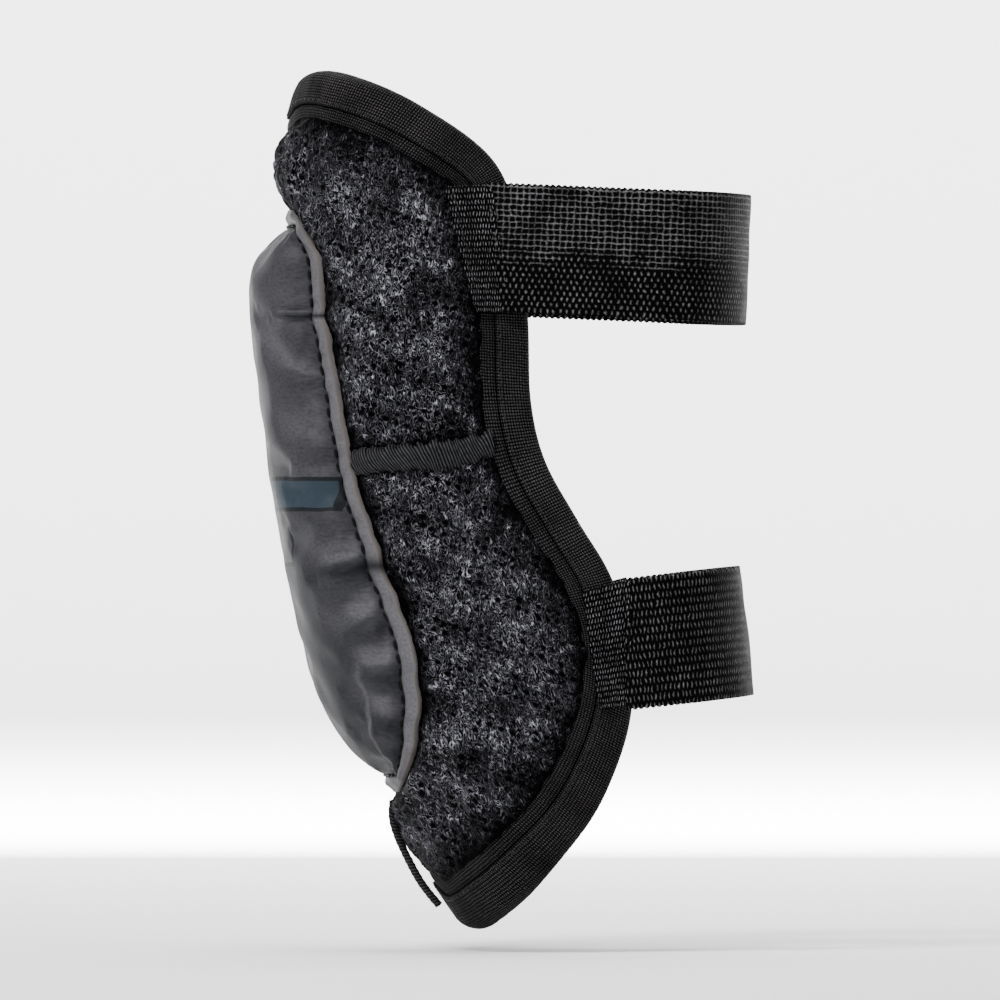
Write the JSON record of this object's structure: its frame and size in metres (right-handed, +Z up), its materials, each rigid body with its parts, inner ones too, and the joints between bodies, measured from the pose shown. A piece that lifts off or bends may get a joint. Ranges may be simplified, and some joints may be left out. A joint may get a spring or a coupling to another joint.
{
  "type": "elbow guard",
  "caption": "Slip-on padded elbow guard: knit mesh foam channel with a leather cap over the elbow, a flex line across each wing and elastic loop straps.",
  "frame": {"origin": "on the limb's axis, midway up the guard", "axes": "+Z up the limb, -X towards the leather cap, +X towards the elastic straps, wings at -Y and +Y"},
  "size_m": [0.1267, 0.1032, 0.2156],
  "materials": {
    "knit_mesh": "matte",
    "lining_cloth": "matte",
    "foam": "matte",
    "cap_foam": "matte",
    "leather": "satin",
    "binding_tape": "matte",
    "elastic": "matte",
    "satin_thread": "satin",
    "thread": "matte",
    "cord_braid": "matte"
  },
  "bodies": {
    "upper_guard": {"upper_foam_pad": "foam", "cap_core_upper": "cap_foam", "outer_mesh": "knit_mesh", "lining": "lining_cloth", "edge_binding": "binding_tape", "binding_stitching": "thread", "cap_cover": "leather", "cap_stitching": "thread", "flex_bar_left": "satin_thread", "flex_bar_right": "satin_thread", "upper_strap_tab_left": "elastic", "upper_strap_tab_right": "elastic", "upper_strap_tack_left": "thread", "upper_strap_tack_right": "thread", "upper_strap_run_left": "elastic", "upper_strap_run_right": "elastic"},
    "lower_guard": {"lower_foam_pad": "foam", "cap_core_lower": "cap_foam", "front_cord": "cord_braid", "lower_strap_tab_left": "elastic", "lower_strap_tab_right": "elastic", "lower_strap_tack_left": "thread", "lower_strap_tack_right": "thread", "lower_strap_run_left": "elastic", "lower_strap_run_right": "elastic"},
    "upper_strap_end": {"upper_strap_bight": "elastic"},
    "lower_strap_end": {"lower_strap_bight": "elastic"}
  },
  "joints": [
    {"name": "elbow_flex", "type": "hinge", "parent": "upper_guard", "child": "lower_guard", "pos_m": [-0.055, 0, 0.0077], "axis": [0, -1, 0], "range_deg": [-8, 10], "stiffness_Nm_per_rad": 0.6, "deforming": ["outer_mesh", "lining", "edge_binding", "binding_stitching", "cap_cover", "cap_stitching", "flex_bar_left", "flex_bar_right"]},
    {"name": "upper_strap_stretch", "type": "slide", "parent": "upper_guard", "child": "upper_strap_end", "axis": [0.9991, 0, -0.0419], "range_m": [0, 0.035], "stiffness_N_per_m": 200},
    {"name": "lower_strap_stretch", "type": "slide", "parent": "lower_guard", "child": "lower_strap_end", "axis": [0.9936, 0, 0.1132], "range_m": [0, 0.035], "stiffness_N_per_m": 200}
  ]
}
